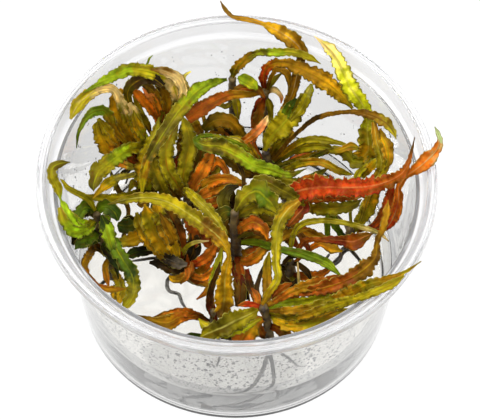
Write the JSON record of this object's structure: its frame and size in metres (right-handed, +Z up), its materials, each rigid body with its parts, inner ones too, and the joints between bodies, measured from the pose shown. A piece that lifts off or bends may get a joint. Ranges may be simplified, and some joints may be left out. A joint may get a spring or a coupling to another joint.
{
  "type": "aquatic plant culture in a cup",
  "caption": "Clear round cup with a bed of clear gel, planted with a tuft of narrow crinkled ribbon leaves that arch over one another and over the rim",
  "frame": {"origin": "centre of the cup's flat underside, on the surface that the cup stands on", "axes": "+Z up along the cup's axis, -Y towards the viewer of the picture, +X to the viewer's right"},
  "size_m": [0.1192, 0.1186, 0.0672],
  "materials": {
    "cup_plastic": "clear",
    "clear_gel": "clear",
    "crown": "satin",
    "leaf_green": "satin",
    "leaf_olive": "satin",
    "leaf_yellow": "satin",
    "leaf_orange": "satin",
    "leaf_brown": "satin",
    "leaf_red": "satin"
  },
  "bodies": {
    "root": {"cup": "cup_plastic", "gel": "clear_gel", "crown_back": "crown", "crown_back_right": "crown", "crown_centre_back": "crown", "crown_centre_right": "crown", "crown_centre_front": "crown", "crown_right": "crown", "crown_centre": "crown", "crown_front": "crown", "crown_front_left": "crown", "crown_left": "crown", "crown_left_front": "crown", "crown_centre_left": "crown", "crown_left_back": "crown", "leaf_back_long_green": "leaf_green", "leaf_back_short_green": "leaf_green", "leaf_back_olive_arch": "leaf_olive", "leaf_red_arch": "leaf_brown", "leaf_orange_bridge": "leaf_orange", "leaf_over_far_rim": "leaf_olive", "leaf_pale_swan_neck": "leaf_yellow", "leaf_tall_olive": "leaf_olive", "leaf_thin_brown_arch": "leaf_brown", "leaf_olive_across": "leaf_olive", "leaf_snake_olive": "leaf_olive", "leaf_bright_green_turn": "leaf_green", "leaf_red_over_right_rim": "leaf_red", "leaf_olive_right": "leaf_olive", "leaf_bowed_olive": "leaf_olive", "leaf_red_right": "leaf_red", "leaf_right_tall": "leaf_olive", "leaf_orange_over_right_rim": "leaf_orange", "leaf_olive_heart": "leaf_olive", "leaf_orange_diagonal": "leaf_brown", "leaf_deep_green": "leaf_green", "leaf_long_s_leaf": "leaf_brown", "leaf_long_front": "leaf_olive", "leaf_front_wall": "leaf_olive", "leaf_yellow_front": "leaf_yellow", "leaf_yellow_twist": "leaf_yellow", "leaf_front_tip": "leaf_brown", "leaf_golden_ribbon": "leaf_yellow", "leaf_left_hook": "leaf_green", "leaf_left_thin": "leaf_olive", "leaf_left_crisp": "leaf_green", "leaf_brown_loop": "leaf_brown", "leaf_olive_cluster": "leaf_olive", "leaf_orange_pair_upper": "leaf_orange", "leaf_orange_pair_lower": "leaf_orange", "leaf_orange_left": "leaf_orange", "leaf_olive_midrib": "leaf_olive", "leaf_rough_brown": "leaf_brown", "leaf_green_arch": "leaf_green", "leaf_pale_arch": "leaf_yellow", "leaf_dark_tip": "leaf_olive", "leaf_serrated_brown": "leaf_brown", "leaf_green_slant": "leaf_green", "leaf_olive_broad": "leaf_olive"}
  },
  "joints": []
}
